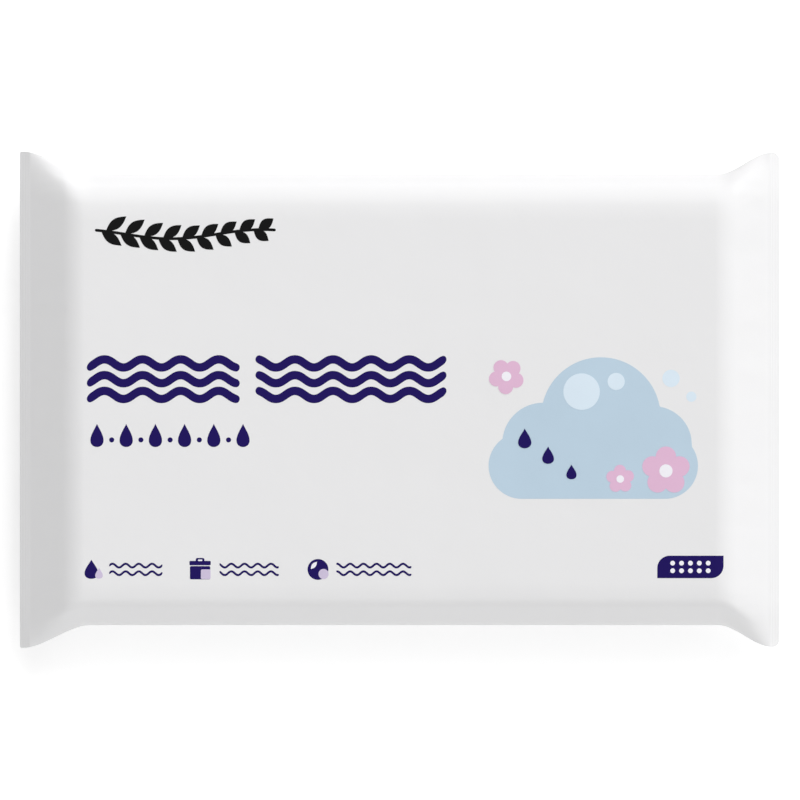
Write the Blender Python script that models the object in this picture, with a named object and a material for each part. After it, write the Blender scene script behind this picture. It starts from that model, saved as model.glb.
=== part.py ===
"""Sealed pack of wet wipes: a tube of film round a folded stack, pressed flat and crimped at both ends.

The pack lies on its back. +X runs along it, +Y across it and +Z out of its front.
The origin is the middle of the face that it lies on. All sizes are in metres.
"""

import math

import bmesh
import bpy

# Whole pack
PACK_LENGTH = 0.150
BODY_WIDTH = 0.089
THICKNESS = 0.016

# Long side of the body: a crest arc off the front, a straight slope and a waist arc at mid height
SIDE_RUN = 0.008
SIDE_CREST_RADIUS = 0.006
SIDE_WAIST_RADIUS = 0.005

# Taper from the body down to each end seal
TAPER_RUN = 0.011
TAPER_CREST_RADIUS = 0.0065

# End seals: two plies pressed into ribs that run along the cut edge, hanging down from mid height
SEAL_BAND = 0.002
SEAL_THICKNESS = 0.0004
SEAL_DROOP = math.radians(36)
CRIMP_PITCH = 0.0005
CRIMP_HEIGHT = 0.00012
LEFT_CORNER_RADIUS = 0.0003
RIGHT_CORNER_RADIUS = 0.0014

# Seam along the back: both edges of the film sealed together and folded down to one side
SEAM_WIDTH = 0.010
SEAM_THICKNESS = 0.0003
SEAM_SAG_RUN = 0.012

# Fineness of the curves
CREST_STEPS = 7
WAIST_STEPS = 6
TAPER_STEPS = 9
CORNER_STEPS = 4
SAG_STEPS = 5
SAME_PLACE = 0.00004

SHARP_ANGLE = math.radians(40)

FILM_WHITE = (0.80, 0.80, 0.81, 1.0)
FILM_ROUGHNESS = 0.45

HALF_THICKNESS = THICKNESS / 2
SEAL_FULLNESS = SEAL_THICKNESS / THICKNESS


def side_slope():
    """Angle below the horizontal of the straight part of the side, touching the crest and waist arcs."""
    across = SIDE_RUN - SIDE_WAIST_RADIUS
    down = HALF_THICKNESS - SIDE_CREST_RADIUS
    turn = (SIDE_CREST_RADIUS - SIDE_WAIST_RADIUS) / math.hypot(across, down)
    return math.atan2(down, across) + math.asin(turn)


def side_curve():
    """Points (run, height) of a full side, from the edge of the flat front down to the waist at mid height."""
    slope = side_slope()
    points = []
    for step in range(CREST_STEPS + 1):
        angle = slope * step / CREST_STEPS
        run = SIDE_CREST_RADIUS * math.sin(angle)
        points.append((run, HALF_THICKNESS - SIDE_CREST_RADIUS * (1 - math.cos(angle))))
    for step in range(WAIST_STEPS + 1):
        angle = slope + (math.pi / 2 - slope) * step / WAIST_STEPS
        run = SIDE_RUN - SIDE_WAIST_RADIUS * (1 - math.sin(angle))
        points.append((run, SIDE_WAIST_RADIUS * math.cos(angle)))
    return points


def side_surplus():
    """How much further the film goes along a full side than straight across it."""
    slope = side_slope()
    across = SIDE_RUN - SIDE_WAIST_RADIUS
    down = HALF_THICKNESS - SIDE_CREST_RADIUS
    straight = math.sqrt(
        across**2 + down**2 - (SIDE_CREST_RADIUS - SIDE_WAIST_RADIUS) ** 2
    )
    crest = SIDE_CREST_RADIUS * slope
    waist = SIDE_WAIST_RADIUS * (math.pi / 2 - slope)
    return crest + straight + waist - SIDE_RUN


def taper_height(run):
    """Half height of the pack at this distance inside the end seal: a straight slope up to a crest arc."""
    rise = HALF_THICKNESS - SEAL_THICKNESS / 2
    crest_centre = rise - TAPER_CREST_RADIUS
    reach = math.hypot(crest_centre, TAPER_RUN)
    slope = math.atan2(crest_centre, TAPER_RUN) + math.asin(TAPER_CREST_RADIUS / reach)
    straight_run = TAPER_RUN - TAPER_CREST_RADIUS * math.sin(slope)
    if run < straight_run:
        return SEAL_THICKNESS / 2 + run * math.tan(slope)
    left = min(TAPER_RUN - run, TAPER_CREST_RADIUS)
    return HALF_THICKNESS - TAPER_CREST_RADIUS + math.sqrt(TAPER_CREST_RADIUS**2 - left**2)


def fullness(distance):
    """Share of the full thickness at this distance from the cut edge."""
    if distance <= SEAL_BAND:
        return SEAL_FULLNESS
    run = min(distance - SEAL_BAND, TAPER_RUN)
    return taper_height(run) / HALF_THICKNESS


def corner_cut(distance, radius):
    """How far a rounded corner of the seal has drawn in the side at this distance from the cut edge."""
    left = max(radius - distance, 0.0)
    return radius - math.sqrt(radius**2 - left**2)


def crimp_rise(distance):
    """Height of the pressed ribs: a zigzag that is level at both edges of the seal."""
    if distance >= SEAL_BAND:
        return 0.0
    phase = (distance * rib_count() / SEAL_BAND) % 1.0
    return CRIMP_HEIGHT * (1 - abs(2 * phase - 1))


def rib_count():
    return max(round(SEAL_BAND / CRIMP_PITCH), 1)


def seal_drop(distance):
    """How far below mid height the seal hangs at this distance from the cut edge."""
    return max(SEAL_BAND - distance, 0.0) * math.tan(SEAL_DROOP)


def station_distances(corner_radius):
    """Distances from the cut edge at which the pack has a section, from the edge to the full body."""
    distances = [0.0]
    for step in range(1, CORNER_STEPS + 1):
        angle = math.pi / 2 * step / CORNER_STEPS
        distances.append(corner_radius * (1 - math.cos(angle)))
    for half_rib in range(1, 2 * rib_count() + 1):
        distances.append(SEAL_BAND * half_rib / (2 * rib_count()))
    for step in range(1, TAPER_STEPS + 1):
        distances.append(SEAL_BAND + TAPER_RUN * math.sin(math.pi / 2 * step / TAPER_STEPS))
    spaced = []
    for distance in sorted(distances):
        if not spaced or distance - spaced[-1] > SAME_PLACE:
            spaced.append(distance)
    return spaced


def seam_levels():
    """Points (y, rise) along the back: the seam lies level, and the film beside its free edge runs back down to it."""
    levels = [(0.0, 0.0), (-SEAM_WIDTH, 0.0)]
    for step in range(SAG_STEPS + 1):
        share = step / SAG_STEPS
        rise = SEAM_THICKNESS * (1 + math.cos(math.pi * share)) / 2
        levels.append((-SEAM_WIDTH - SAME_PLACE - SEAM_SAG_RUN * share, rise))
    return levels


def section(x, end_distance, corner_radius):
    """One closed outline across the pack, from the waist at +Y over the front to -Y and along the back."""
    full = fullness(end_distance)
    waist = BODY_WIDTH / 2 + side_surplus() * (1 - full) - corner_cut(end_distance, corner_radius)
    flat = waist - SIDE_RUN * full
    middle = HALF_THICKNESS + crimp_rise(end_distance) - seal_drop(end_distance)
    side = [(flat + run * full, height * full) for run, height in side_curve()]
    front = [(y, middle + z) for y, z in reversed(side)]
    front += [(-y, middle + z) for y, z in side]
    back = [(-y, middle - z) for y, z in reversed(side[:-1])]
    back += [(y, middle - (HALF_THICKNESS - rise) * full) for y, rise in reversed(seam_levels())]
    back += [(y, middle - z) for y, z in side[:-1]]
    return [(x, y, z) for y, z in front + back]


def sections():
    """All the sections, from the left cut edge to the right one."""
    left = station_distances(LEFT_CORNER_RADIUS)
    right = station_distances(RIGHT_CORNER_RADIUS)
    rings = [section(-PACK_LENGTH / 2 + d, d, LEFT_CORNER_RADIUS) for d in left]
    rings += [section(PACK_LENGTH / 2 - d, d, RIGHT_CORNER_RADIUS) for d in reversed(right)]
    return rings


def loft(name, rings):
    """A closed mesh through outlines that all have the same number of points."""
    mesh = bpy.data.meshes.new(name)
    bm = bmesh.new()
    loops = [[bm.verts.new(point) for point in ring] for ring in rings]
    for near, far in zip(loops, loops[1:]):
        for i in range(len(near)):
            j = (i + 1) % len(near)
            bm.faces.new((near[i], near[j], far[j], far[i]))
    bm.faces.new(reversed(loops[0]))
    bm.faces.new(loops[-1])
    bmesh.ops.recalc_face_normals(bm, faces=bm.faces)
    bm.to_mesh(mesh)
    bm.free()
    mesh.shade_smooth()
    mesh.set_sharp_from_angle(angle=SHARP_ANGLE)
    return mesh


def film_material():
    material = bpy.data.materials.new("film")
    material.use_nodes = True
    shader = material.node_tree.nodes["Principled BSDF"]
    shader.inputs["Base Color"].default_value = FILM_WHITE
    shader.inputs["Roughness"].default_value = FILM_ROUGHNESS
    shader.inputs["Metallic"].default_value = 0.0
    return material


def clear_scene():
    for old in list(bpy.data.objects):
        bpy.data.objects.remove(old)


def main():
    clear_scene()
    collection = bpy.data.collections.new("wet_wipes_pack")
    bpy.context.scene.collection.children.link(collection)
    pack = bpy.data.objects.new("film_pack", loft("film_pack", sections()))
    pack.data.materials.append(film_material())
    collection.objects.link(pack)


main()
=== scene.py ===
"""The looks of a sealed pack of wet wipes: its film, seals and printed front, and a plain studio round it.

The pack lies on its back. +X runs along it, +Y across it and +Z out of its front. Sizes are in metres,
apart from the print, whose places and sizes are in millimetres on the front.
"""

import math

import bpy
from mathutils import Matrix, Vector

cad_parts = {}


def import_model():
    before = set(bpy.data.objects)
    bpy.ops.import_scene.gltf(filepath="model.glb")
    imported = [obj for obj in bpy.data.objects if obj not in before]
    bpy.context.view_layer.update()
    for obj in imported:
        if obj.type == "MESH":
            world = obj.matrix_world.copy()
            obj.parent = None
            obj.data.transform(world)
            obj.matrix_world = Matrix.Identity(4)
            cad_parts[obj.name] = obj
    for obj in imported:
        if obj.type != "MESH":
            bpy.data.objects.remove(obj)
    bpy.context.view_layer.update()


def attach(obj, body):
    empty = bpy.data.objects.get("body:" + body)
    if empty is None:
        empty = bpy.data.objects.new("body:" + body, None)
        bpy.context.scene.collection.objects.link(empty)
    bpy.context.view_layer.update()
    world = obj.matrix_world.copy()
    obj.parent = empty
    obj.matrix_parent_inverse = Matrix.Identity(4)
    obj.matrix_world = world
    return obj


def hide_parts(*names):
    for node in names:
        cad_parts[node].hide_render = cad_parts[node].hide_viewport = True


MM = 0.001

# The pack: the sizes of its solid, with sides that bend in one more step, and the unevenness of its film,
# each kind of which takes the seed one step further on. Far is its +Y side and near its -Y side. A side is a
# faint crown, a crest, a straight slope and a round waist.
PACK_SIZES = {
    "Pack Length": 0.150,
    "Body Width": 0.089,
    "Thickness": 0.016,
    "Far Side Run": 0.0092,
    "Near Side Run": 0.0085,
    "Side Crown Radius": 0.016,
    "Side Crown Turn": math.radians(11.0),
    "Far Crest Radius": 0.0058,
    "Near Crest Radius": 0.003,
    "Side Waist Radius": 0.005,
    "Taper Run": 0.011,
    "Taper Crest Radius": 0.0065,
    "Seal Band": 0.002,
    "Seal Thickness": 0.0004,
    "Soft Height": 0.00007,
    "Soft Length": 0.026,
    "Soft Breadth": 0.021,
    "Soft Depth": 0.012,
    "Soft Fade": 0.006,
    "Pucker Height": 0.0001,
    "Pucker Length": 0.024,
    "Pucker Breadth": 0.0036,
    "Pucker Depth": 0.009,
    "Pucker Start": 0.003,
    "Pucker Fade": 0.010,
    "Seed": 7.0,
}

# Ends and back of the film
EDGE_SIZES = {
    "Seal Droop": math.radians(36),
    "Flutter Height": 0.00022,
    "Flutter Length": 0.022,
    "Flutter Fade": 0.008,
    "Crimp Height": 0.00004,
    "Crimp Pitch": 0.0005,
    "Left Corner Radius": 0.0003,
    "Right Corner Radius": 0.0014,
    "Left Flare": 0.0045,
    "Right Flare": 0.0043,
    "Left Flare Start": 0.0005,
    "Right Flare Start": 0.0015,
    "Left Flare Run": 0.0135,
    "Right Flare Run": 0.01075,
    "Fold Fullness": 0.83,
    "Corner Curl": 0.0008,
    "Curl Reach": 0.009,
    "Seam Width": 0.010,
    "Seam Rise": 0.0003,
    "Seam Sag Run": 0.012,
    "Tuck Run": 0.0015,
}

# Seam along the back: a strip of two plies, pressed into fine ribs and folded down
STRIP_SIZES = {
    "Strip Thickness": 0.00014,
    "Strip Proud": 0.0001,
    "Rib Height": 0.00003,
    "Rib Pitch": 0.001,
    "Tuck Depth": 0.0003,
    "Tuck Lead": 0.3,
    "Edge Wander": 0.00018,
    "Wander Length": 0.014,
    "End Inset": 0.00005,
}

# Print: how far it stands out of the film and reaches into it, the tips of its drops and its waves
PRINT_SIZES = {
    "Ink Rise": 0.00002,
    "Ink Step": 0.000006,
    "Ink Depth": 0.00006,
    "Tip Breadth": 0.00001,
    "Wave Height": 0.0008,
    "Wave Length": 0.0075,
}

# Lobes of the printed cloud: places along it, heights of their middles and radii
CLOUD_SIZES = {
    "Left Lobe Place": -0.0099,
    "Left Lobe Height": 0.0044,
    "Left Lobe Radius": 0.008,
    "Middle Lobe Place": 0.0015,
    "Middle Lobe Height": 0.0096,
    "Middle Lobe Radius": 0.01175,
    "Right Lobe Place": 0.0119,
    "Right Lobe Height": 0.0042,
    "Right Lobe Radius": 0.0075,
}

# Fineness of the wrap from the cut edge to the middle and from waist to waist, of the seam's strip and of a
# printed shape
CAP_ROWS = 1
SEAL_ROWS = 24
TAPER_ROWS = 30
BODY_ROWS = 62
SEAL_ROW_CROWDING = 1.5
SIDE_COLUMNS = 34
FLAT_COLUMNS = 80
HALF_ROWS = CAP_ROWS + SEAL_ROWS + TAPER_ROWS + BODY_ROWS
FACE_COLUMNS = FLAT_COLUMNS + 2 * SIDE_COLUMNS
FLAT_SHARE = FLAT_COLUMNS / FACE_COLUMNS
STRIP_ROWS = 180
STRIP_COLUMNS = 64
PRINT_COLUMNS = 33
PRINT_ROWS = 3

# Fixed rules of the shapes: reach of the noise, distance at which points merge, angle of a sharp edge, share
# of a printed bar that its round ends take, how pointed a drop is and what its rule comes to where it is
# broadest, and the steep fall of a lobe's edge beside the lobe
NOISE_REACH = 4.0
MERGE_DISTANCE = 0.000002
SHARP_ANGLE = math.radians(35)
END_SHARE = 0.4
DROP_POINT = 1.5
DROP_FULLNESS = 0.7026
LOBE_STEEPNESS = 1000.0

# Waves of the twig's stem and of the fine lines, in millimetres as the rest of the print's layout is
TWIG_WAVE_HEIGHT = 0.9
TWIG_WAVE_LENGTH = 36.0
FINE_WAVE_HEIGHT = 0.36
FINE_WAVE_LENGTH = 2.6

# Middle of the small case along the front, shared by its box, lid and handle and by the gap in the handle
CASE_MIDDLE = -39.3

# Petals of a flower: their number, how far out they sit and how wide they are beside the flower's width, and
# the step in the ink from one to the next
PETALS = 5
PETAL_REACH = 0.29
PETAL_WIDTH = 0.42
PETAL_STEP = 0.5

# Flowers on the cloud and beside it: x, y, width, turn in degrees and width of the heart
FLOWERS = [
    (52.4, -14.0, 9.6, 90, 2.6),
    (43.4, -15.6, 5.6, 20, 1.5),
    (21.0, 4.6, 7.0, 50, 1.9),
]

# Colours, as seen in plain light
FILM_WHITE = (0.790, 0.788, 0.794)
NAVY = (0.0110, 0.0040, 0.0960)
BLACK = (0.0022, 0.0022, 0.0024)
PALE_BLUE = (0.490, 0.618, 0.726)
ICE_BLUE = (0.680, 0.786, 0.875)
PINK = (0.728, 0.467, 0.638)
LILAC = (0.596, 0.522, 0.688)
PAPER_WHITE = (0.86, 0.85, 0.90)
TABLE_WHITE = (0.80, 0.80, 0.80)

# Finish of the film and of the inks: the fineness and detail of the patterns in their tint, their sheen,
# their fine tooth and their broad swell, and how strong and deep the tooth and the swell are
TINT_FINENESS = 85.0
TINT_DETAIL = 3.0
SHEEN_FINENESS = 340.0
SHEEN_DETAIL = 2.0
TOOTH_FINENESS = 2600.0
TOOTH_DETAIL = 3.0
TOOTH_STRENGTH = 0.25
TOOTH_DEPTH = 0.00004
SWELL_FINENESS = 190.0
SWELL_DETAIL = 1.0
SWELL_STRENGTH = 0.3
SWELL_DEPTH = 0.0002

# Table: how far it reaches each way, how far under the pack it lies, its roughness and how far it is lifted
# to white where it is looked at
TABLE_REACH = 2.5
TABLE_GAP = 0.00005
TABLE_ROUGHNESS = 0.9
TABLE_GLOW = 0.42

# Light: the level of the surroundings on each side of the pack, what each corner between two sides adds to
# it or takes from it, and the softbox with its direction from the pack, distance, width, height and power
WALL_LEVELS = {"right": 0.86, "left": 0.54, "back": 1.25, "front": 1.85}
CORNER_LEVELS = {
    ("right", "back"): 2.95,
    ("right", "front"): -2.57,
    ("left", "back"): -2.47,
    ("left", "front"): -1.08,
}
KEY_DIRECTION = (0.067, 0.763, 0.643)
KEY_DISTANCE = 1.6
KEY_WIDTH = 1.2
KEY_HEIGHT = 0.9
KEY_POWER = 7.7


class Flow:
    """A number in a node tree. Plain arithmetic on it adds the node that does that sum."""

    def __init__(self, tree, socket):
        self.tree = tree
        self.socket = socket

    def __add__(self, other):
        return work_out(self.tree, "ADD", self, other)

    __radd__ = __add__

    def __sub__(self, other):
        return work_out(self.tree, "SUBTRACT", self, other)

    def __rsub__(self, other):
        return work_out(self.tree, "SUBTRACT", other, self)

    def __mul__(self, other):
        return work_out(self.tree, "MULTIPLY", self, other)

    __rmul__ = __mul__

    def __truediv__(self, other):
        return work_out(self.tree, "DIVIDE", self, other)

    def __neg__(self):
        return work_out(self.tree, "MULTIPLY", self, -1.0)


def feed(tree, value, socket):
    """Links a flow to a socket, or sets the socket to a plain value."""
    if isinstance(value, Flow):
        tree.links.new(value.socket, socket)
    else:
        socket.default_value = value


def work_out(tree, operation, *values):
    """Adds one maths node and returns what comes out of it."""
    node = tree.nodes.new("ShaderNodeMath")
    node.operation = operation
    for value, socket in zip(values, node.inputs):
        feed(tree, value, socket)
    return Flow(tree, node.outputs[0])


def least(flow, other):
    return work_out(flow.tree, "MINIMUM", flow, other)


def most(flow, other):
    return work_out(flow.tree, "MAXIMUM", flow, other)


def sine(flow):
    return work_out(flow.tree, "SINE", flow)


def cosine(flow):
    return work_out(flow.tree, "COSINE", flow)


def tangent(flow):
    return work_out(flow.tree, "TANGENT", flow)


def root(flow):
    return work_out(flow.tree, "SQRT", most(flow, 0.0))


def power(flow, exponent):
    return work_out(flow.tree, "POWER", flow, exponent)


def size_of(flow):
    return work_out(flow.tree, "ABSOLUTE", flow)


def sign_of(flow):
    return work_out(flow.tree, "SIGN", flow)


def share(flow):
    """The flow held between 0 and 1."""
    return least(most(flow, 0.0), 1.0)


def eased(flow):
    """The flow held between 0 and 1, starting and ending gently."""
    held = share(flow)
    return held * held * (3.0 - 2.0 * held)


def mixed(first, second, part):
    """The first value where the part is 0, the second where it is 1."""
    return first + part * (second - first)


def ribs(flow, pitch):
    """Round ribs at this pitch, from 0 to 1."""
    return 0.5 - 0.5 * cosine(flow / pitch * math.tau)


def vector(tree, x, y, z):
    node = tree.nodes.new("ShaderNodeCombineXYZ")
    for value, socket in zip((x, y, z), node.inputs):
        feed(tree, value, socket)
    return Flow(tree, node.outputs[0])


def parts_of(flow):
    """The x, y and z of a vector."""
    node = flow.tree.nodes.new("ShaderNodeSeparateXYZ")
    feed(flow.tree, flow, node.inputs[0])
    return [Flow(flow.tree, socket) for socket in node.outputs]


def noise(tree, place, seed):
    """Smooth noise, mostly between -1 and 1."""
    node = tree.nodes.new("ShaderNodeTexNoise")
    node.noise_dimensions = "4D"
    feed(tree, place, node.inputs["Vector"])
    feed(tree, seed, node.inputs["W"])
    node.inputs["Scale"].default_value = 1.0
    node.inputs["Detail"].default_value = 1.0
    return (Flow(tree, node.outputs[0]) - 0.5) * NOISE_REACH


def new_tree(name, sizes):
    """A geometry tree with named inputs for its sizes and material, and those inputs as flows."""
    tree = bpy.data.node_groups.new(name, "GeometryNodeTree")
    tree.interface.new_socket("Geometry", in_out="INPUT", socket_type="NodeSocketGeometry")
    for label, value in sizes.items():
        kind = "NodeSocketInt" if isinstance(value, int) else "NodeSocketFloat"
        socket = tree.interface.new_socket(label, in_out="INPUT", socket_type=kind)
        socket.default_value = value
    tree.interface.new_socket("Material", in_out="INPUT", socket_type="NodeSocketMaterial")
    tree.interface.new_socket("Geometry", in_out="OUTPUT", socket_type="NodeSocketGeometry")
    source = tree.nodes.new("NodeGroupInput")
    return tree, {socket.name: Flow(tree, socket) for socket in source.outputs if socket.name}


def end_tree(tree, flows, geometry, place):
    """Moves the points to their place, closes the mesh and gives it its material."""
    move = tree.nodes.new("GeometryNodeSetPosition")
    merge = tree.nodes.new("GeometryNodeMergeByDistance")
    realize = tree.nodes.new("GeometryNodeRealizeInstances")
    paint = tree.nodes.new("GeometryNodeSetMaterial")
    result = tree.nodes.new("NodeGroupOutput")
    feed(tree, geometry, move.inputs["Geometry"])
    feed(tree, place, move.inputs["Position"])
    merge.inputs["Distance"].default_value = MERGE_DISTANCE
    tree.links.new(move.outputs["Geometry"], merge.inputs["Geometry"])
    tree.links.new(merge.outputs["Geometry"], realize.inputs["Geometry"])
    tree.links.new(realize.outputs["Geometry"], paint.inputs["Geometry"])
    feed(tree, flows["Material"], paint.inputs["Material"])
    tree.links.new(paint.outputs["Geometry"], result.inputs["Geometry"])


def position_of(tree):
    return parts_of(Flow(tree, tree.nodes.new("GeometryNodeInputPosition").outputs[0]))


def named_value(tree, label, kind):
    node = tree.nodes.new("GeometryNodeInputNamedAttribute")
    node.data_type = kind
    node.inputs["Name"].default_value = label
    return Flow(tree, node.outputs["Attribute"])


def made_by(tree, name, mesh, values, material, slot, *replaced):
    """Runs a tree on a mesh and keeps what it makes as a plain piece that rides with the pack."""
    maker = bpy.data.objects.new(name + "_maker", mesh)
    bpy.context.scene.collection.objects.link(maker)
    modifier = maker.modifiers.new("maker", "NODES")
    modifier.node_group = tree
    for socket in tree.interface.items_tree:
        if socket.name == "Material":
            modifier[socket.identifier] = material
        elif socket.name in values:
            modifier[socket.identifier] = values[socket.name]
    graph = bpy.context.evaluated_depsgraph_get()
    made = bpy.data.meshes.new_from_object(maker.evaluated_get(graph))
    bpy.data.objects.remove(maker)
    made.name = name
    made.shade_smooth()
    made.set_sharp_from_angle(angle=SHARP_ANGLE)
    piece = bpy.data.objects.new(name, made)
    bpy.context.scene.collection.objects.link(piece)
    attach(piece, "root")
    if replaced:
        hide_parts(*replaced)


def tilt_past(rise, run, radius):
    """Angle of the line that starts at the foot of a rise and touches the arc at its top."""
    reach = root(rise * rise + run * run)
    return work_out(rise.tree, "ARCTAN2", rise, run) + work_out(rise.tree, "ARCSINE", radius / reach)


def fullness(sizes, distance):
    """Share of the full thickness at this distance from the cut edge: seal, straight slope, crest arc."""
    half = sizes["Thickness"] / 2.0
    seal = sizes["Seal Thickness"] / 2.0
    crest = sizes["Taper Crest Radius"]
    taper = sizes["Taper Run"]
    run = least(most(distance - sizes["Seal Band"], 0.0), taper)
    slope = tilt_past(half - seal - crest, taper, crest)
    left = least(taper - run, crest * sine(slope))
    crest_height = half - crest + root(crest * crest - left * left)
    return least(seal + run * tangent(slope), crest_height) / half


def end_distance(sizes, x):
    return sizes["Pack Length"] / 2.0 - size_of(x)


def relief(tree, sizes, x, y, z, distance):
    """How far the film stands out of its plain shape: soft dents, and puckers drawn in by the seals."""
    inside = distance - sizes["Seal Band"]
    soft_place = vector(tree, x / sizes["Soft Length"], y / sizes["Soft Breadth"], z / sizes["Soft Depth"])
    soft = noise(tree, soft_place, sizes["Seed"]) * sizes["Soft Height"]
    pucker_x = x / sizes["Pucker Length"]
    pucker_place = vector(tree, pucker_x, y / sizes["Pucker Breadth"], z / sizes["Pucker Depth"])
    pucker = noise(tree, pucker_place, sizes["Seed"] + 1.0) * sizes["Pucker Height"]
    start = sizes["Pucker Start"]
    pucker_fade = eased(inside / start) * (1.0 - eased((inside - start) / sizes["Pucker Fade"]))
    return soft * eased(inside / sizes["Soft Fade"]) + pucker * pucker_fade


def by_end(sizes, x, label):
    """The size of this name that belongs to the end of the pack at x."""
    return mixed(sizes["Left " + label], sizes["Right " + label], share(x / MM))


def by_side(sizes, y, label):
    """The size of this name that belongs to the long side of the pack at y."""
    return mixed(sizes["Near " + label], sizes["Far " + label], share(sign_of(y)))


def arc(radius, start, end):
    """How far an arc goes across and down between two tilts."""
    return radius * (sine(end) - sine(start)), radius * (cosine(start) - cosine(end))


def side_path(sizes, part, side):
    """Run, height and tilt at this part of the long side on this side, from the flat front to the waist."""
    half = sizes["Thickness"] / 2.0
    crown = sizes["Side Crown Radius"]
    crest = by_side(sizes, side, "Crest Radius")
    waist = sizes["Side Waist Radius"]
    bend = sizes["Side Crown Turn"]
    across = by_side(sizes, side, "Side Run") - waist - (crown - crest) * sine(bend)
    down = half - crown + (crown - crest) * cosine(bend)
    gain = crest - waist
    slope = tilt_past(down, across, gain)
    lengths = [crown * bend, crest * (slope - bend), root(across * across + down * down - gain * gain)]
    left = part * (lengths[0] + lengths[1] + lengths[2] + waist * (math.pi / 2 - slope))
    walked = []
    for length in lengths:
        walked.append(least(left, length))
        left = left - walked[-1]
    crown_tilt = walked[0] / crown
    crest_tilt = bend + walked[1] / crest
    waist_tilt = slope + left / waist
    crest_run, crest_fall = arc(crest, bend, crest_tilt)
    waist_run, waist_fall = arc(waist, slope, waist_tilt)
    run = crown * sine(crown_tilt) + crest_run + walked[2] * cosine(slope) + waist_run
    fall = crown * (1.0 - cosine(crown_tilt)) + crest_fall + walked[2] * sine(slope) + waist_fall
    return run, half - fall, crown_tilt + crest_tilt - bend + waist_tilt - slope


def crown_fall(sizes, y):
    """How far the front has fallen at y on the crown beside its flat."""
    crown = sizes["Side Crown Radius"]
    beyond = most(size_of(y) - sizes["Body Width"] / 2.0 + by_side(sizes, y, "Side Run"), 0.0)
    return crown - root(crown * crown - beyond * beyond)


def flare(sizes, x, distance):
    """How far the film spreads sideways where the pack gets thin towards a seal."""
    part = (distance - by_end(sizes, x, "Flare Start")) / by_end(sizes, x, "Flare Run")
    return by_end(sizes, x, "Flare") * (1.0 - eased(part))


def corner_cut(sizes, x, distance):
    """How far the rounded corner of a seal has drawn in the side."""
    radius = by_end(sizes, x, "Corner Radius")
    left = most(radius - distance, 0.0)
    return radius - root(radius * radius - left * left)


def seal_lift(tree, sizes, x, y, distance):
    """How far the pack's middle lies off mid height: the seal hangs, wavers and curls at its corners."""
    drop = most(sizes["Seal Band"] - distance, 0.0) * tangent(sizes["Seal Droop"])
    place = vector(tree, sign_of(x), y / sizes["Flutter Length"], 0.0)
    flutter = noise(tree, place, sizes["Seed"] + 2.0) * sizes["Flutter Height"]
    from_corner = sizes["Body Width"] / 2.0 + by_end(sizes, x, "Flare") - size_of(y)
    curl = sizes["Corner Curl"] * (1.0 - eased(from_corner / sizes["Curl Reach"]))
    return (flutter - curl) * (1.0 - eased(distance / sizes["Flutter Fade"])) - drop


def seam_rise(sizes, y):
    """How far the back is held off the table above the folded seam and beside it."""
    tuck = eased(0.5 - y / sizes["Tuck Run"])
    fall = share((-sizes["Seam Width"] - y) / sizes["Seam Sag Run"])
    return sizes["Seam Rise"] * tuck * (0.5 + 0.5 * cosine(fall * math.pi))


def wrap_tree():
    """The film round the stack: a grid that runs from cut edge to cut edge and once round the pack."""
    tree, sizes = new_tree("film wrap", PACK_SIZES | EDGE_SIZES)
    grid = tree.nodes.new("GeometryNodeMeshGrid")
    grid.inputs["Size X"].default_value = 1.0
    grid.inputs["Size Y"].default_value = 1.0
    grid.inputs["Vertices X"].default_value = 2 * HALF_ROWS + 1
    grid.inputs["Vertices Y"].default_value = 2 * FACE_COLUMNS + 1
    along, around, _ = position_of(tree)

    row = HALF_ROWS * (1.0 - 2.0 * size_of(along))
    seal_part = power(share((row - CAP_ROWS) / SEAL_ROWS), SEAL_ROW_CROWDING)
    taper_part = share((row - CAP_ROWS - SEAL_ROWS) / TAPER_ROWS)
    body_part = share((row - CAP_ROWS - SEAL_ROWS - TAPER_ROWS) / BODY_ROWS)
    half_length = sizes["Pack Length"] / 2.0
    body_half = half_length - sizes["Seal Band"] - sizes["Taper Run"]
    distance = seal_part * sizes["Seal Band"] + taper_part * sizes["Taper Run"] + body_part * body_half
    x = sign_of(along) * (half_length - distance)

    face = -sign_of(around)
    on_back = share(-face)
    across = 1.0 - size_of(4.0 * around)
    side_part = share((size_of(across) - FLAT_SHARE) / (1.0 - FLAT_SHARE))
    full = fullness(sizes, distance)
    run, height, turn = side_path(sizes, side_part, across)
    whole_run = by_side(sizes, across, "Side Run")
    waist = sizes["Body Width"] / 2.0 + flare(sizes, x, distance) - corner_cut(sizes, x, distance)
    flat = (waist - whole_run) * least(size_of(across) / FLAT_SHARE, 1.0)
    y = sign_of(across) * (flat + run)
    outwards = run / whole_run
    folded = sizes["Thickness"] / 2.0 * power(most(1.0 - outwards * outwards, 0.0), sizes["Fold Fullness"])
    height = mixed(folded, height, eased(full))
    rise = face * height * full + on_back * seam_rise(sizes, y) * full * (1.0 - side_part)

    half = sizes["Thickness"] / 2.0
    stand = relief(tree, sizes, x, y, half + rise, distance)
    stand = mixed(stand, -size_of(stand), on_back) * (1.0 - side_part * side_part)
    crimps = sizes["Crimp Height"] * ribs(distance, sizes["Crimp Pitch"])
    crimps = crimps * share((sizes["Seal Band"] - distance) / MERGE_DISTANCE)
    middle = half + seal_lift(tree, sizes, x, y, distance) + crimps
    off_middle = (rise + face * stand * cosine(turn)) * share(row)
    place = vector(tree, x, y + sign_of(across) * stand * sine(turn), middle + off_middle)
    end_tree(tree, sizes, Flow(tree, grid.outputs["Mesh"]), place)
    return tree


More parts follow.
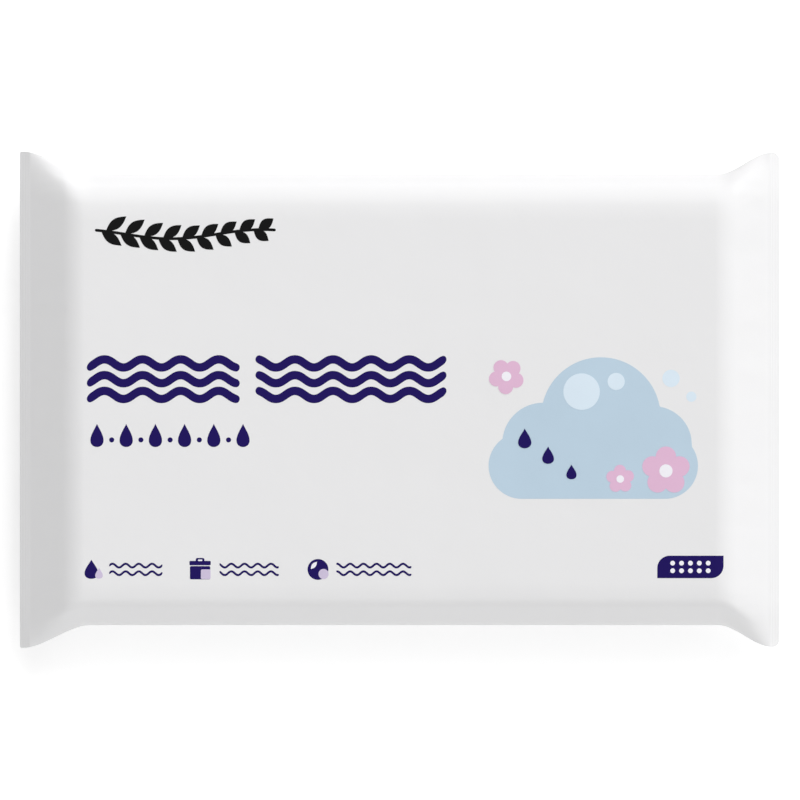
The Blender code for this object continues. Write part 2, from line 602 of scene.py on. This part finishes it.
def strip_tree():
    """The seam along the back: a thin slab from its root at the middle to its free edge."""
    tree, sizes = new_tree("back seam", PACK_SIZES | EDGE_SIZES | STRIP_SIZES)
    slab = tree.nodes.new("GeometryNodeMeshCube")
    slab.inputs["Vertices X"].default_value = STRIP_ROWS + 1
    slab.inputs["Vertices Y"].default_value = STRIP_COLUMNS + 1
    along, across, through = position_of(tree)
    x = along * (sizes["Pack Length"] - 2.0 * sizes["End Inset"])
    distance = end_distance(sizes, x)
    free = 0.5 - across
    wander = noise(tree, vector(tree, x / sizes["Wander Length"], 0.0, 0.0), sizes["Seed"] + 3.0)
    reach = sizes["Seam Width"] + sizes["Tuck Run"] + wander * sizes["Edge Wander"]
    y = sizes["Tuck Run"] - free * reach
    full = fullness(sizes, distance)
    level = sizes["Thickness"] / 2.0 * (1.0 - full) + seal_lift(tree, sizes, x, y, distance)
    outer = level - sizes["Strip Proud"] * (1.0 - full)
    outer = outer + sizes["Rib Height"] * ribs(y, sizes["Rib Pitch"])
    tuck = sizes["Tuck Depth"] * eased(sizes["Tuck Lead"] + y / sizes["Tuck Run"])
    place = vector(tree, x, y, outer + tuck + (through + 0.5) * sizes["Strip Thickness"])
    end_tree(tree, sizes, Flow(tree, slab.outputs["Mesh"]), place)
    return tree


def pick(tree, index, choices):
    """The one of these numbers that the index names."""
    node = tree.nodes.new("GeometryNodeIndexSwitch")
    node.data_type = "FLOAT"
    while len(node.index_switch_items) < len(choices):
        node.index_switch_items.new()
    feed(tree, index, node.inputs["Index"])
    for choice, socket in zip(choices, list(node.inputs)[1:]):
        feed(tree, choice, socket)
    return Flow(tree, node.outputs[0])


# Rules of the printed shapes. Each takes how far along the shape a point is, from -1 to 1, with the shape's
# half length, half breadth, corner radius and x of its middle. It returns the place along the shape and the
# heights of its two edges there.


def bar_edges(sizes, part, length, breadth, corner, x):
    """A bar with round corners, which is a disc when its corners are as big as itself."""
    core = least(size_of(part) / (1.0 - END_SHARE), 1.0)
    turn = share((size_of(part) - 1.0 + END_SHARE) / END_SHARE) * (math.pi / 2)
    place = sign_of(part) * ((length - corner) * core + corner * sine(turn))
    edge = breadth - corner * (1.0 - cosine(turn))
    return place, -edge, edge


def tag_edges(sizes, part, length, breadth, corner, x):
    """A bar with two opposite corners round and two sharp."""
    place, low, high = bar_edges(sizes, part, length, breadth, corner, x)
    at_end = share(sign_of(part))
    return place, mixed(-breadth, low, at_end), mixed(high, breadth, at_end)


def leaf_edges(sizes, part, length, breadth, corner, x):
    """A leaf with a point at each end."""
    edge = breadth * cosine(part * (math.pi / 2))
    return part * length, -edge, edge


def drop_edges(sizes, part, length, breadth, corner, x):
    """A drop with its point at the far end."""
    turn = (1.0 - part) * (math.pi / 2)
    edge = breadth / DROP_FULLNESS * sine(turn) * power(sine(turn / 2.0), DROP_POINT)
    edge = most(edge, sizes["Tip Breadth"] / 2.0)
    return length * cosine(turn), -edge, edge


def wave_edges(sizes, part, length, breadth, corner, x):
    """A waved line with round ends."""
    place, low, high = bar_edges(sizes, part, length, breadth, corner, x)
    phase = (place + x) / sizes["Wave Length"] * math.tau
    steep = sizes["Wave Height"] / sizes["Wave Length"] * math.tau * cosine(phase)
    middle = sizes["Wave Height"] * sine(phase)
    widened = root(steep * steep + 1.0)
    return place, middle + low * widened, middle + high * widened


def cloud_edges(sizes, part, length, breadth, corner, x):
    """A cloud: a bar with round ends and the lobes that stand on it."""
    place, low, high = bar_edges(sizes, part, length, breadth, corner, x)
    for lobe in ("Left Lobe ", "Middle Lobe ", "Right Lobe "):
        radius = sizes[lobe + "Radius"]
        away = size_of(place - sizes[lobe + "Place"])
        top = sizes[lobe + "Height"] + root(radius * radius - away * away)
        high = most(high, top - LOBE_STEEPNESS * most(away - radius, 0.0))
    return place, low, high


SHAPE_RULES = {
    "bar": bar_edges,
    "leaf": leaf_edges,
    "drop": drop_edges,
    "wave": wave_edges,
    "tag": tag_edges,
    "cloud": cloud_edges,
}


def print_tree():
    """Printed shapes: one slab at each point, drawn to the point's shape and laid on the film."""
    fineness = {"Columns": PRINT_COLUMNS, "Rows": PRINT_ROWS}
    tree, sizes = new_tree("print", PACK_SIZES | PRINT_SIZES | CLOUD_SIZES | fineness)
    slab = tree.nodes.new("GeometryNodeMeshCube")
    slab.inputs["Size"].default_value = (2.0, 2.0, 2.0)
    feed(tree, sizes["Columns"], slab.inputs["Vertices X"])
    feed(tree, sizes["Rows"], slab.inputs["Vertices Y"])
    keep = tree.nodes.new("GeometryNodeStoreNamedAttribute")
    keep.data_type = "FLOAT_VECTOR"
    keep.inputs["Name"].default_value = "slab"
    spot = Flow(tree, tree.nodes.new("GeometryNodeInputPosition").outputs[0])
    feed(tree, spot, keep.inputs["Value"])
    tree.links.new(slab.outputs["Mesh"], keep.inputs["Geometry"])
    strew = tree.nodes.new("GeometryNodeInstanceOnPoints")
    feed(tree, sizes["Geometry"], strew.inputs["Points"])
    tree.links.new(keep.outputs["Geometry"], strew.inputs["Instance"])
    realize = tree.nodes.new("GeometryNodeRealizeInstances")
    tree.links.new(strew.outputs["Instances"], realize.inputs["Geometry"])

    part, side, through = parts_of(named_value(tree, "slab", "FLOAT_VECTOR"))
    middle_x, middle_y, _ = parts_of(named_value(tree, "middle", "FLOAT_VECTOR"))
    length, breadth, turn = parts_of(named_value(tree, "extent", "FLOAT_VECTOR"))
    index, level, corner = parts_of(named_value(tree, "kind", "FLOAT_VECTOR"))
    drawn = [rule(sizes, part, length, breadth, corner, middle_x) for rule in SHAPE_RULES.values()]
    place, low, high = [pick(tree, index + 0.5, values) for values in zip(*drawn)]
    edge = mixed(low, high, 0.5 + 0.5 * side)
    x = middle_x + place * cosine(turn) - edge * sine(turn)
    y = middle_y + place * sine(turn) + edge * cosine(turn)

    half = sizes["Thickness"] / 2.0
    distance = end_distance(sizes, x)
    z = half + half * fullness(sizes, distance) - crown_fall(sizes, y)
    film = z + relief(tree, sizes, x, y, z, distance)
    top = sizes["Ink Rise"] + level * sizes["Ink Step"]
    lift = mixed(-sizes["Ink Depth"], top, 0.5 + 0.5 * through)
    end_tree(tree, sizes, Flow(tree, realize.outputs["Geometry"]), vector(tree, x, y, film + lift))
    return tree


def shape(kind, x, y, length, breadth, turn=0.0, level=0.0, corner=None):
    """One printed shape: its kind, middle, size, turn in degrees, level in the ink and corner radius."""
    place = (x * MM, y * MM, 0.0)
    extent = (length * MM / 2, breadth * MM / 2, math.radians(turn))
    radius = breadth / 2 if corner is None else corner
    return place, extent, (list(SHAPE_RULES).index(kind), level, radius * MM)


def disc(x, y, width, level=0.0):
    return shape("bar", x, y, width, width, level=level)


def points_of(name, shapes):
    """The mesh of loose points that the print tree draws its shapes at."""
    mesh = bpy.data.meshes.new(name + "_points")
    mesh.from_pydata([place for place, _, _ in shapes], [], [])
    for label, values in zip(("middle", "extent", "kind"), zip(*shapes)):
        attribute = mesh.attributes.new(label, "FLOAT_VECTOR", "POINT")
        attribute.data.foreach_set("vector", [number for value in values for number in value])
    return mesh


def wave_rows(x_start, x_end, middle, rows, pitch, breadth):
    """Rows of waves, one above the other."""
    length = x_end - x_start
    centre = (x_start + x_end) / 2
    heights = [middle + (row - (rows - 1) / 2) * pitch for row in range(rows)]
    return [shape("wave", centre, y, length, breadth) for y in heights]


def twig():
    """A leafy twig in the upper left corner: a waved stem and its leaves, in pairs."""
    start = -60.0
    end = -24.4
    middle = 32.6
    stem_breadth = 0.55
    pairs = 9
    pair_pitch = 3.75
    first_foot = 1.2
    upper_lead = 0.25
    first_length = 5.0
    shortening = 0.16
    leaf_breadth = 2.0
    leaf_tilt = 36
    shapes = [shape("wave", (start + end) / 2, middle, end - start, stem_breadth)]
    for i in range(pairs):
        for side, lead in ((1, upper_lead), (-1, 0.0)):
            foot = start + first_foot + (i + lead) * pair_pitch
            stem_rise = TWIG_WAVE_HEIGHT * math.sin(foot / TWIG_WAVE_LENGTH * math.tau)
            length = first_length - shortening * i
            tilt = math.radians(side * leaf_tilt)
            x = foot + length / 2 * math.cos(tilt)
            y = middle + stem_rise + length / 2 * math.sin(tilt)
            shapes.append(shape("leaf", x, y, length, leaf_breadth, turn=side * leaf_tilt, level=1 + i % 2))
    return shapes


def ripples():
    """Two blocks of broad waves, side by side."""
    shapes = []
    for x_start, x_end in ((-61.6, -31.5), (-28.4, 9.2)):
        shapes += wave_rows(x_start, x_end, middle=4.05, rows=3, pitch=3.1, breadth=1.65)
    return shapes


def fine_lines():
    """A pair of fine waves to the right of each small picture."""
    shapes = []
    for x_start, x_end in ((-57.2, -46.7), (-35.5, -23.8), (-12.5, 2.3)):
        shapes += wave_rows(x_start, x_end, middle=-33.4, rows=2, pitch=1.5, breadth=0.42)
    return shapes


def drop_row():
    """Drops in a row below the ripples, with a dot between each two."""
    drops = 6
    pitch = 5.75
    first_drop = -59.6
    first_dot = -56.7
    shapes = []
    for i in range(drops):
        shapes.append(shape("drop", first_drop + pitch * i, -7.0, 4.6, 2.6, turn=90))
        if i < drops - 1:
            shapes.append(disc(first_dot + pitch * i, -7.9, 1.0))
    return shapes


def small_pictures():
    """Along the lower edge: a drop, a case with its lid and handle, and a ball."""
    return [
        shape("drop", -60.7, -33.35, 3.8, 2.7, turn=90),
        shape("bar", CASE_MIDDLE, -34.05, 4.0, 2.6, corner=0.25),
        shape("bar", CASE_MIDDLE, -32.15, 4.2, 0.85, corner=0.2),
        shape("bar", CASE_MIDDLE, -31.55, 1.7, 0.8, level=1, corner=0.3),
        disc(-16.1, -33.4, 4.1),
    ]


def falling_drops():
    """Three drops on the cloud, each lower and smaller than the one before."""
    shapes = []
    for i in range(3):
        x = 24.6 + 4.6 * i
        y = -7.6 - 3.3 * i
        length = 3.9 - 0.5 * i
        breadth = 2.6 - 0.3 * i
        shapes.append(shape("drop", x, y, length, breadth, turn=90, level=9))
    return shapes


def white_openings():
    """White in the dark shapes: the tag's dots, the glint on the ball and the gap in the case's handle."""
    dot_width = 0.95
    shapes = []
    for column in range(5):
        for row in range(2):
            x = 53.72 + 1.75 * column
            y = -32.16 - 1.5 * row
            shapes.append(disc(x, y, dot_width, level=3))
    shapes.append(shape("leaf", -16.9, -32.6, 1.9, 0.8, turn=50, level=3))
    shapes.append(shape("bar", CASE_MIDDLE, -31.6, 0.9, 0.3, level=3))
    return shapes


def accents():
    """A small pale shape over the lower right of each small picture."""
    return [
        shape("drop", -59.2, -34.15, 2.1, 1.5, turn=90, level=2),
        shape("bar", -38.2, -34.35, 1.9, 1.9, level=2, corner=0.25),
        disc(-15.0, -34.3, 2.0, level=2),
    ]


def glints():
    """Two bubbles on the cloud and two beside it."""
    return [
        disc(35.8, 1.6, 7.2, level=5),
        disc(42.6, 3.6, 3.4, level=5),
        disc(53.4, 4.2, 3.4),
        disc(57.4, 0.6, 2.0),
    ]


def petals(x, y, width, turn):
    """Round petals about the middle of a flower."""
    shapes = []
    for i in range(PETALS):
        angle = math.radians(turn + 360 / PETALS * i)
        reach = width * PETAL_REACH
        petal_x = x + reach * math.cos(angle)
        petal_y = y + reach * math.sin(angle)
        shapes.append(disc(petal_x, petal_y, width * PETAL_WIDTH, level=4.0 + PETAL_STEP * i))
    return shapes


def add_print():
    """All the print on the front, one piece for each ink and fineness."""
    tree = print_tree()

    def ink(name, slot, material, shapes, columns=PRINT_COLUMNS, rows=PRINT_ROWS, **changes):
        values = {"Columns": columns, "Rows": rows} | changes
        made_by(tree, name, points_of(name, shapes), values, material, slot)

    navy = ink_material("navy ink", NAVY)
    black = ink_material("black ink", BLACK)
    pale_blue = ink_material("pale blue ink", PALE_BLUE)
    ice_blue = ink_material("ice blue ink", ICE_BLUE)
    pink = ink_material("pink ink", PINK)
    lilac = ink_material("lilac ink", LILAC)
    white = ink_material("white ink", PAPER_WHITE)

    twig_wave = {"Wave Height": TWIG_WAVE_HEIGHT * MM, "Wave Length": TWIG_WAVE_LENGTH * MM}
    fine_wave = {"Wave Height": FINE_WAVE_HEIGHT * MM, "Wave Length": FINE_WAVE_LENGTH * MM}
    ink("print_twig", "black_ink", black, twig(), columns=65, **twig_wave)
    ink("print_ripples", "navy_ink", navy, ripples(), columns=161)
    ink("print_fine_lines", "navy_ink", navy, fine_lines(), columns=129, **fine_wave)
    ink("print_marks", "navy_ink", navy, drop_row() + small_pictures() + falling_drops(), columns=41)

    tag = [shape("tag", 57.22, -32.91, 13.05, 4.42, corner=2.45)]
    ink("print_tag", "navy_ink", navy, tag, columns=97, rows=7)
    ink("print_reversed_out", "film", white, white_openings(), columns=25)
    ink("print_accents", "lilac_ink", lilac, accents())

    cloud = [shape("cloud", 38.1, -13.0, 41.2, 13.0)]
    ink("print_cloud", "pale_blue_ink", pale_blue, cloud, columns=257, rows=13)
    ink("print_glints", "ice_blue_ink", ice_blue, glints(), columns=49, rows=5)

    flowers = []
    hearts = []
    for x, y, width, turn, heart_width in FLOWERS:
        flowers += petals(x, y, width, turn)
        hearts.append(disc(x, y, heart_width, level=9))
    ink("print_flowers", "pink_ink", pink, flowers, columns=41)
    ink("print_flower_hearts", "film", white, hearts)


def surface_material(name, colour, cloudiness, roughness_low, roughness_high, shine):
    """A matt laminate: a faint cloudiness of its colour, an uneven sheen and a fine tooth."""
    material = bpy.data.materials.new(name)
    material.use_nodes = True
    tree = material.node_tree
    shader = tree.nodes["Principled BSDF"]
    shader.inputs["Specular IOR Level"].default_value = shine
    place = Flow(tree, tree.nodes.new("ShaderNodeTexCoord").outputs["Object"])

    def pattern(fineness, detail):
        node = tree.nodes.new("ShaderNodeTexNoise")
        node.inputs["Scale"].default_value = fineness
        node.inputs["Detail"].default_value = detail
        feed(tree, place, node.inputs["Vector"])
        return Flow(tree, node.outputs[0])

    def bumps(fineness, detail, strength, depth):
        node = tree.nodes.new("ShaderNodeBump")
        node.inputs["Strength"].default_value = strength
        node.inputs["Distance"].default_value = depth
        feed(tree, pattern(fineness, detail), node.inputs["Height"])
        return node

    tint = tree.nodes.new("ShaderNodeMix")
    tint.data_type = "RGBA"
    tint.inputs["A"].default_value = (*[c * (1 - cloudiness) for c in colour], 1.0)
    tint.inputs["B"].default_value = (*[c * (1 + cloudiness) for c in colour], 1.0)
    feed(tree, pattern(TINT_FINENESS, TINT_DETAIL), tint.inputs["Factor"])
    tree.links.new(tint.outputs["Result"], shader.inputs["Base Color"])

    spread = roughness_high - roughness_low
    sheen = pattern(SHEEN_FINENESS, SHEEN_DETAIL)
    feed(tree, roughness_low + sheen * spread, shader.inputs["Roughness"])

    tooth = bumps(TOOTH_FINENESS, TOOTH_DETAIL, TOOTH_STRENGTH, TOOTH_DEPTH)
    swell = bumps(SWELL_FINENESS, SWELL_DETAIL, SWELL_STRENGTH, SWELL_DEPTH)
    tree.links.new(swell.outputs["Normal"], tooth.inputs["Normal"])
    tree.links.new(tooth.outputs["Normal"], shader.inputs["Normal"])
    return material


def film_material():
    return surface_material(
        "white film", FILM_WHITE, cloudiness=0.008, roughness_low=0.46, roughness_high=0.58, shine=0.30
    )


def ink_material(name, colour):
    return surface_material(
        name, colour, cloudiness=0.035, roughness_low=0.42, roughness_high=0.54, shine=0.10
    )


def looked_at(tree):
    """1 where the camera, or a reflection or clear piece, looks at this, and 0 where light falls from it."""
    path = tree.nodes.new("ShaderNodeLightPath")
    rays = [Flow(tree, path.outputs[f"Is {kind} Ray"]) for kind in ("Camera", "Glossy", "Transmission")]
    return most(most(rays[0], rays[1]), rays[2])


def add_floor():
    """A white table top whose camera view is lifted to white, so that only the pack's soft shadow shows."""
    reach = TABLE_REACH
    mesh = bpy.data.meshes.new("floor")
    corners = [(-reach, -reach), (reach, -reach), (reach, reach), (-reach, reach)]
    mesh.from_pydata([(x, y, -TABLE_GAP) for x, y in corners], [], [(0, 1, 2, 3)])
    floor = bpy.data.objects.new("floor", mesh)
    bpy.context.scene.collection.objects.link(floor)
    material = bpy.data.materials.new("white table")
    material.use_nodes = True
    tree = material.node_tree
    shader = tree.nodes["Principled BSDF"]
    shader.inputs["Base Color"].default_value = (*TABLE_WHITE, 1.0)
    shader.inputs["Roughness"].default_value = TABLE_ROUGHNESS
    shader.inputs["Specular IOR Level"].default_value = 0.0
    glow = tree.nodes.new("ShaderNodeEmission")
    feed(tree, looked_at(tree) * TABLE_GLOW, glow.inputs["Strength"])
    both = tree.nodes.new("ShaderNodeAddShader")
    tree.links.new(shader.outputs["BSDF"], both.inputs[0])
    tree.links.new(glow.outputs["Emission"], both.inputs[1])
    tree.links.new(both.outputs["Shader"], tree.nodes["Material Output"].inputs["Surface"])
    mesh.materials.append(material)


def add_lights():
    """Soft surroundings, dim off the left end and bright off the far right corner, and one large softbox."""
    world = bpy.data.worlds.new("studio")
    bpy.context.scene.world = world
    world.use_nodes = True
    tree = world.node_tree
    background = tree.nodes["Background"]
    background.inputs["Color"].default_value = (1.0, 1.0, 1.0, 1.0)
    x, y, _ = parts_of(Flow(tree, tree.nodes.new("ShaderNodeTexCoord").outputs["Generated"]))
    faced = {"right": most(x, 0.0), "left": most(-x, 0.0), "back": most(y, 0.0), "front": most(-y, 0.0)}
    level = 0.0
    for wall, wall_level in WALL_LEVELS.items():
        level = level + wall_level * faced[wall]
    for (wall, next_wall), corner_level in CORNER_LEVELS.items():
        level = level + corner_level * faced[wall] * faced[next_wall]
    level = most(level, 0.0)
    feed(tree, mixed(level, 1.0, looked_at(tree)), background.inputs["Strength"])

    light = bpy.data.lights.new("key softbox", "AREA")
    light.shape = "RECTANGLE"
    light.size = KEY_WIDTH
    light.size_y = KEY_HEIGHT
    light.energy = KEY_POWER
    lamp = bpy.data.objects.new("key softbox", light)
    towards = Vector(KEY_DIRECTION).normalized()
    lamp.location = towards * KEY_DISTANCE
    lamp.rotation_mode = "QUATERNION"
    lamp.rotation_quaternion = towards.to_track_quat("Z", "Y")
    lamp.visible_camera = False
    bpy.context.scene.collection.objects.link(lamp)


def add_camera():
    """A long lens straight above the pack, so that it is seen square on."""
    distance = 3.0
    waist_height = 0.008
    frame_width = 0.1579
    frame_centre = (0.00005, -0.00005)
    camera = bpy.data.cameras.new("camera")
    camera.lens = camera.sensor_width * (distance - waist_height) / frame_width
    camera.clip_start = 0.05
    camera.clip_end = 12.0
    placed = bpy.data.objects.new("camera", camera)
    placed.location = (*frame_centre, distance)
    bpy.context.scene.collection.objects.link(placed)
    bpy.context.scene.camera = placed


def main():
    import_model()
    film = film_material()
    nothing = bpy.data.meshes.new("nothing")
    made_by(wrap_tree(), "film_wrap", nothing, {}, film, "film", "film_pack")
    made_by(strip_tree(), "back_seam", nothing, {}, film, "film")
    add_print()
    add_floor()
    add_lights()
    add_camera()
    bpy.context.scene.view_settings.view_transform = "Standard"


main()
